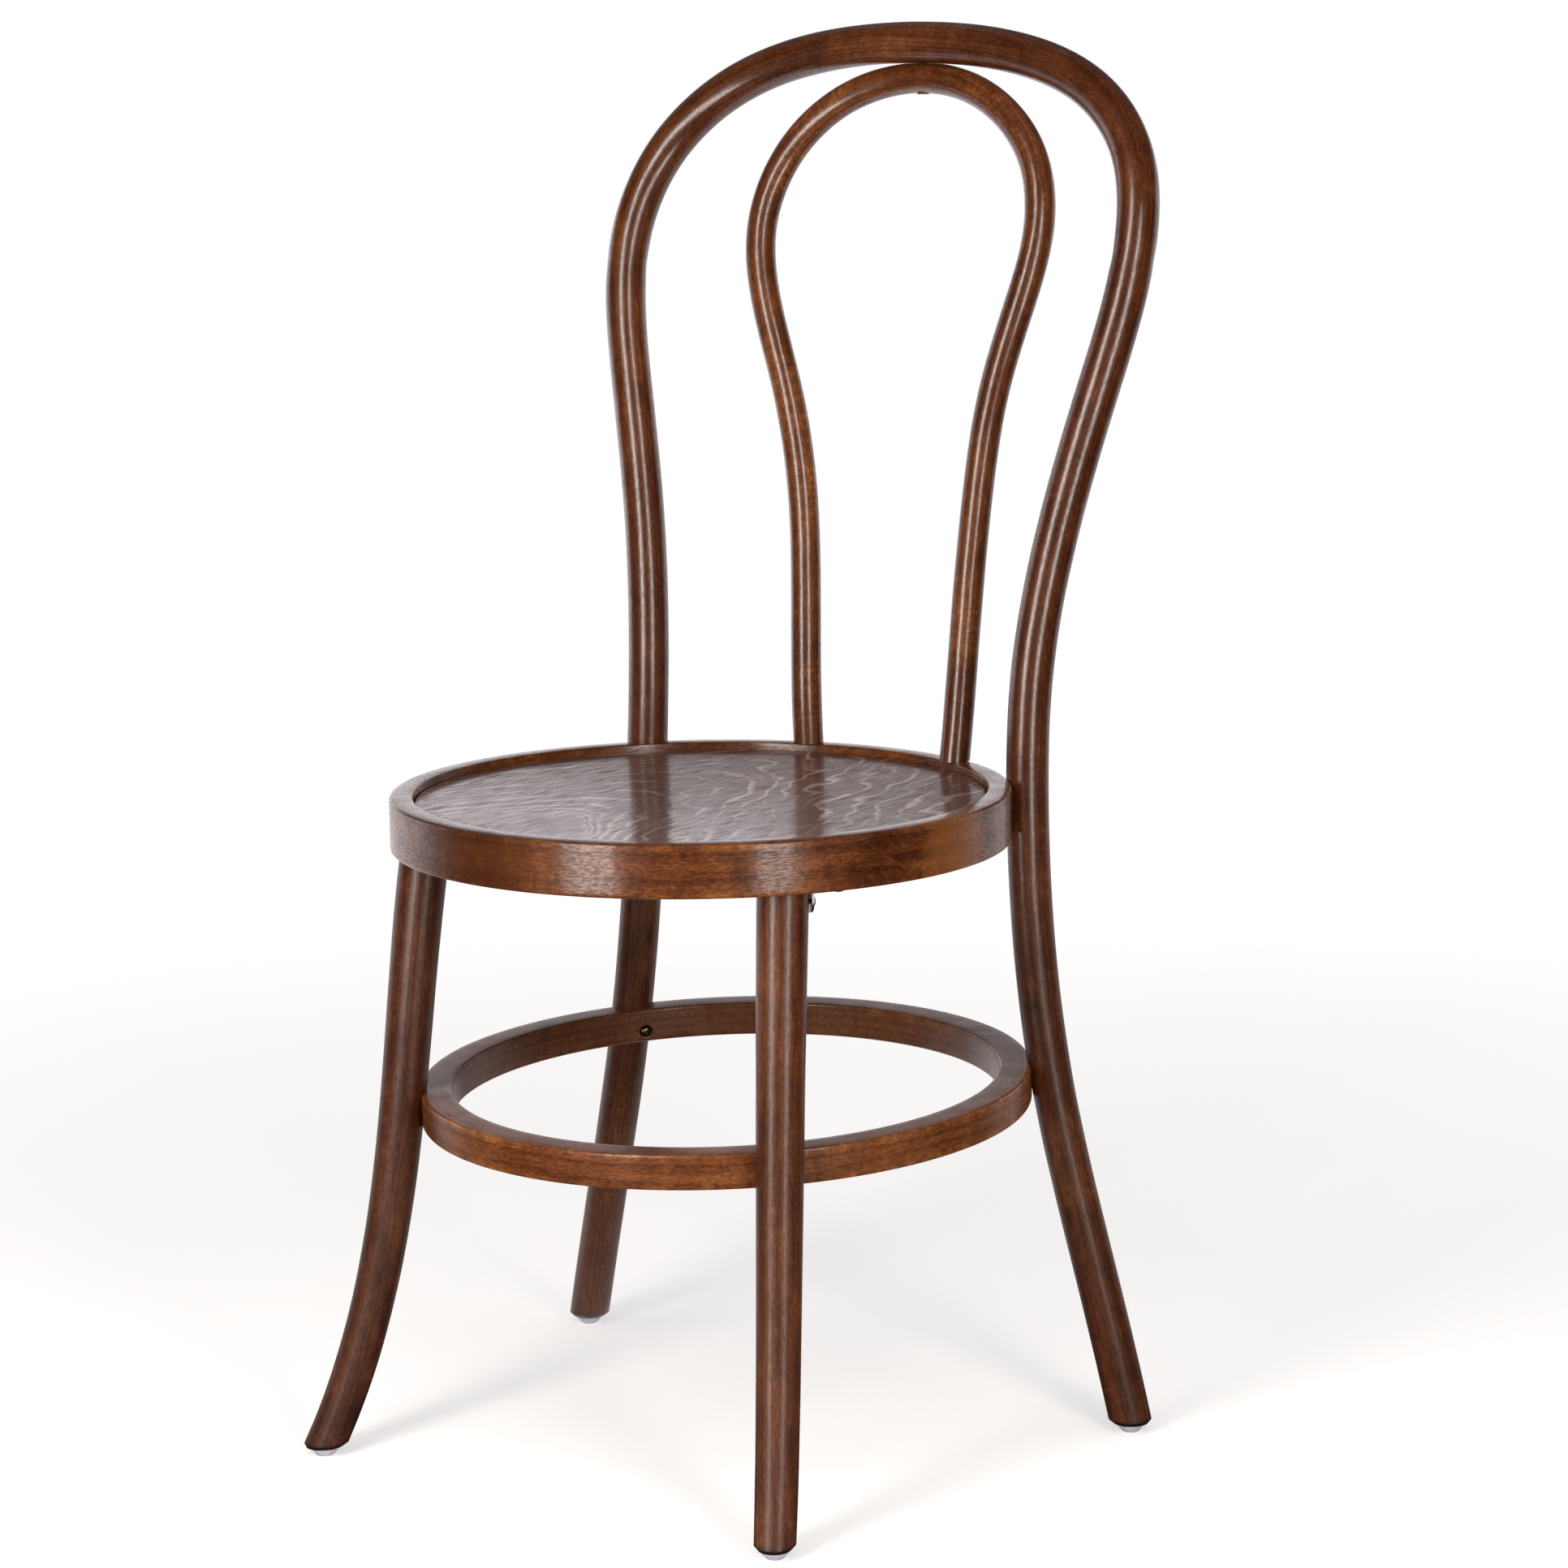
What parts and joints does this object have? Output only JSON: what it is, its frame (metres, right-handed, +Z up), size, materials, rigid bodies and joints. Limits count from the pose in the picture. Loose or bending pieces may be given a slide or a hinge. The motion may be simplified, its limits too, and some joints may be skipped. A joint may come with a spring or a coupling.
{
  "type": "bentwood bistro chair",
  "caption": "Bentwood bistro chair: bent rod back bow with an inner hoop, round panelled seat, splayed legs and a round stretcher hoop.",
  "frame": {"origin": "middle of the footprint's bounding box on the floor, under the seat", "axes": "+Z up, -Y towards the chair's front, +X to the right as seen from the front"},
  "size_m": [0.495, 0.4805, 0.9312],
  "materials": {
    "bow_wood": "dark walnut stain, semi-gloss lacquer",
    "hoop_wood": "dark walnut stain, semi-gloss lacquer",
    "ring_wood": "dark walnut stain, semi-gloss lacquer, figured band",
    "panel_veneer": "dark walnut stained veneer, satin lacquer, open grain",
    "leg_wood": "dark walnut stain, semi-gloss lacquer",
    "stretcher_wood": "dark walnut stain, semi-gloss lacquer",
    "plug_wood": "dark walnut stain, satin",
    "glide_plastic": "pale moulded nylon, satin",
    "bracket_steel": "zinc plated, satin",
    "bright_steel": "zinc plated",
    "bronzed_steel": "dark bronzed"
  },
  "bodies": {
    "root": {"back_bow": "bow_wood", "inner_hoop": "hoop_wood", "seat_ring": "ring_wood", "seat_panel": "panel_veneer", "front_leg_right": "leg_wood", "front_leg_left": "leg_wood", "stretcher_hoop": "stretcher_wood", "corner_bracket_right": "bracket_steel", "corner_bracket_left": "bracket_steel", "glide_front_right": "glide_plastic", "glide_front_left": "glide_plastic", "glide_rear_right": "glide_plastic", "glide_rear_left": "glide_plastic", "glide_nails": "bright_steel", "stretcher_screws": "bronzed_steel", "seat_bolts": "bright_steel", "seat_bolt_washers": "bright_steel", "hoop_foot_screws": "bright_steel", "apex_screw": "bright_steel", "apex_plug": "plug_wood", "bracket_screws": "bronzed_steel"}
  },
  "joints": []
}
